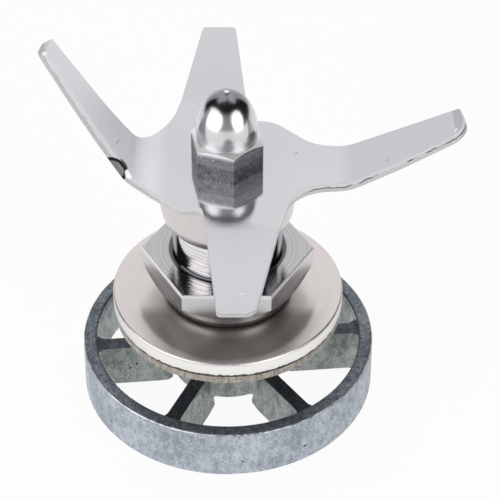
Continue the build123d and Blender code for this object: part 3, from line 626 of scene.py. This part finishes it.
blade_plate.data.materials.clear()
blade_plate.data.materials.append(material)
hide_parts("blade")
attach(blade_plate, "rotor_body")

# Acorn nut. Cold forged steel with a turned dome: the flats keep the grainy grey skin of the
# forging and the dome is polished, with tool rings near the point. The upper half of the flats is
# painted lighter, the dark streaks near the point are a painted reflection, and the point and the
# ring round the dome's foot are rougher painted highlights.
acorn_low, acorn_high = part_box("acorn_nut")
FLATS_HEIGHT = 0.0066
DOME_FOOT = acorn_low.z + FLATS_HEIGHT
DOME_SIDE = (DOME_FOOT - 0.0016, DOME_FOOT - 0.0004)
NEAR_POINT = (acorn_high.z - 0.0040, acorn_high.z - 0.0012)
MID_HEIGHT = (acorn_low.z + 0.0032, acorn_low.z + 0.0034)
NUB_R = (0.00055, 0.00040)
CHAMFER_R = 0.0063
CHAMFER_SLOPE = 0.577
CROWN_EDGE = (DOME_FOOT - 0.00016, DOME_FOOT - 0.00006)
CROWN_R = (0.00600, 0.00612)
DOME_PITCH = 0.00012
STREAK_PITCH = 0.03
SAND_DEPTH = 0.00003
material, tree, shader, place = begin_material("nut_steel")
spot = use_group(tree, about_spindle, {"Place": place})
rings = use_group(tree, tool_lines, {"Across": spot["Radius"], "Pitch": DOME_PITCH})
on_dome = fade(tree, spot["Height"], *DOME_SIDE)
sand = grain(tree, place, 4200, 2)
sand_patches = grain(tree, place, 700, 3)
skin = tint(tree, fade(tree, calc(tree, "MULTIPLY_ADD", sand_patches, 0.4, calc(
    tree, "MULTIPLY", sand, 0.6)), 0.35, 0.65), (0.085, 0.09, 0.10, 1), (0.255, 0.26, 0.28, 1))
bright = tint(tree, rings["Bands"], (0.62, 0.60, 0.62, 1), (0.74, 0.72, 0.74, 1))
near_point = fade(tree, spot["Height"], *NEAR_POINT)
streaks = use_group(tree, tool_lines, {"Across": spot["Turn"], "Pitch": STREAK_PITCH})["Lines"]
# Painted reflection: dark radial streaks near the point, for the dark room it mirrors, laid out
# like tool marks.
dark_point = calc(tree, "MULTIPLY", near_point, fade(tree, streaks, 0.28, 0.60))
bright = tint(tree, dark_point, bright, (0.08, 0.085, 0.105, 1))
# Painted highlight: the point of the dome is near white and duller.
nub = calc(tree, "MULTIPLY", fade(tree, spot["Radius"], *NUB_R), near_point)
bright = tint(tree, nub, bright, (0.95, 0.95, 0.95, 1))
# Painted light: the upper half of the flats is lighter.
mid_height = fade(tree, spot["Height"], *MID_HEIGHT)
skin = tint(tree, calc(tree, "MULTIPLY", mid_height, 0.22), skin, (0.52, 0.54, 0.58, 1))
sparks = use_group(tree, specks, {"Place": place, "Scale": 3600, "Amount": 0.18})["Mask"]
skin = tint(tree, sparks, skin, (0.72, 0.72, 0.72, 1))
# Painted highlight: a pale, duller ring on the chamfer round the dome's foot.
cone = calc(tree, "SUBTRACT", spot["Radius"], CHAMFER_R)
cone = calc(tree, "MULTIPLY_ADD", cone, CHAMFER_SLOPE, spot["Height"])
crown = calc(tree, "MULTIPLY", fade(tree, cone, *CROWN_EDGE), fade(tree, spot["Radius"], *CROWN_R))
bright = tint(tree, on_dome, skin, bright)
feed(tree, shader["Base Color"], tint(tree, crown, bright, (0.95, 0.94, 0.95, 1)))
shader["Metallic"].default_value = 1.0
dome_polish = calc(tree, "MULTIPLY_ADD", on_dome, -0.23, shade(tree, sand, 0.40, 0.48))
dull = calc(tree, "MAXIMUM", crown, nub)
feed(tree, shader["Roughness"], calc(tree, "MULTIPLY_ADD", dull, 0.3, dome_polish))
grit = calc(tree, "MULTIPLY", sand, calc(tree, "SUBTRACT", 1.0, on_dome))
lines = calc(tree, "MULTIPLY", rings["Lines"], calc(tree, "MULTIPLY_ADD", near_point, 0.2, calc(
    tree, "MULTIPLY", on_dome, 0.05)))
emboss(tree, shader, calc(tree, "ADD", grit, lines), SAND_DEPTH)
finish_node("acorn_nut", material)

# Floor. A sheet of matt white paper laid flat under the part, big enough to fill every view; it
# glows towards the camera so that it stays white, and keeps a faint shadow.
FLOOR_SIZE = 6.0
FLOOR_GLOW = 0.94
bpy.ops.object.select_all(action="DESELECT")
bpy.ops.mesh.primitive_plane_add(size=FLOOR_SIZE, location=(0, 0, 0))
floor = bpy.context.object
floor.name = "floor"
material, tree, shader, place = begin_material("white_paper")
shader["Base Color"].default_value = (0.92, 0.92, 0.92, 1)
shader["Roughness"].default_value = 0.9
glow = tree.nodes.new("ShaderNodeEmission")
rays = tree.nodes.new("ShaderNodeLightPath").outputs
seen = calc(tree, "MAXIMUM", rays["Is Camera Ray"], rays["Is Glossy Ray"])
seen = calc(tree, "MAXIMUM", seen, rays["Is Transmission Ray"])
paper = tree.nodes.new("ShaderNodeMixShader")
feed(tree, paper.inputs[0], calc(tree, "MULTIPLY", seen, FLOOR_GLOW))
tree.links.new(tree.nodes["Principled BSDF"].outputs[0], paper.inputs[1])
tree.links.new(glow.outputs[0], paper.inputs[2])
tree.links.new(paper.outputs[0], tree.nodes["Material Output"].inputs["Surface"])
floor.data.materials.append(material)

# Studio. A dark room with a white backdrop behind the part that widens to a canopy overhead, a dim
# front wall and ceiling, and an oval soft box at each side of the camera, which sees only white.
ROOM_TONE = 0.012
FRONT_TONE = 0.30
CEILING_TONE = 0.08
CEILING = (radians(60), radians(80))
FRONT_SIDE = (radians(148), radians(164))
FRONT_TOP = (radians(46), radians(32))
BACKDROP_SIDE = (radians(52), radians(40))
CANOPY = (radians(44), radians(60))
CANOPY_REACH = radians(40)
BACKDROP_TOP = (radians(88), radians(76))
world = bpy.data.worlds.new("studio")
bpy.context.scene.world = world
world.use_nodes = True
tree = world.node_tree
heading = tree.nodes.new("ShaderNodeSeparateXYZ")
feed(tree, heading.inputs[0], tree.nodes.new("ShaderNodeTexCoord").outputs["Generated"])
side = calc(tree, "ABSOLUTE", calc(tree, "ARCTAN2", heading.outputs["X"], heading.outputs["Y"]))
height = calc(tree, "ARCSINE", heading.outputs["Z"])
drawn_in = calc(tree, "MULTIPLY_ADD", fade(tree, height, *CANOPY), -CANOPY_REACH, side)
backdrop = calc(tree, "MULTIPLY", fade(tree, drawn_in, *BACKDROP_SIDE), fade(
    tree, height, *BACKDROP_TOP))
seen = tree.nodes.new("ShaderNodeLightPath").outputs["Is Camera Ray"]
front = calc(tree, "MULTIPLY", fade(tree, side, *FRONT_SIDE), fade(tree, height, *FRONT_TOP))
room = calc(tree, "MULTIPLY_ADD", front, FRONT_TONE, ROOM_TONE)
room = calc(tree, "MULTIPLY_ADD", fade(tree, height, *CEILING), CEILING_TONE, room)
level = calc(tree, "MAXIMUM", calc(tree, "MAXIMUM", backdrop, room), seen)
feed(tree, tree.nodes["Background"].inputs["Strength"], level)
tree.nodes["Background"].inputs["Color"].default_value = (1, 1, 1, 1)


LAMP_AIM = Vector((0, 0, 0.05))


def soft_box(name, place, width, height, power):
    """An oval lamp with a diffuser, turned towards the part."""
    data = bpy.data.lights.new(name, "AREA")
    data.shape = "ELLIPSE"
    data.size = width
    data.size_y = height
    data.energy = power
    lamp = bpy.data.objects.new(name, data)
    facing = (LAMP_AIM - Vector(place)).to_track_quat("-Z", "Y").to_matrix().to_4x4()
    lamp.matrix_world = Matrix.Translation(place) @ facing
    lamp.visible_camera = False
    bpy.context.scene.collection.objects.link(lamp)


soft_box("soft_box_left", (-0.73, -0.456, 0.345), width=1.42, height=0.86, power=7.5)
soft_box("soft_box_right", (0.63, -0.587, 0.345), width=0.80, height=0.86, power=3.9)

# Camera. A long lens in front of the part and above it, looking along +Y and down, with no blur
# from depth of field.
PIXELS = 500
FOCAL_PIXELS = 1600
SENSOR = 36
EYE = Vector((0.00462, -0.25362, 0.24575))
PITCH_DOWN = 39.84
ROLL = 0.3
CLIP_START = 0.01
camera_data = bpy.data.cameras.new("camera")
camera_data.sensor_width = SENSOR
camera_data.lens = SENSOR * FOCAL_PIXELS / PIXELS
camera_data.clip_start = CLIP_START
camera = bpy.data.objects.new("camera", camera_data)
bpy.context.scene.collection.objects.link(camera)
tilt = Matrix.Rotation(radians(90 - PITCH_DOWN), 4, "X")
camera.matrix_world = Matrix.Translation(EYE) @ tilt @ Matrix.Rotation(radians(ROLL), 4, "Z")
bpy.context.scene.camera = camera
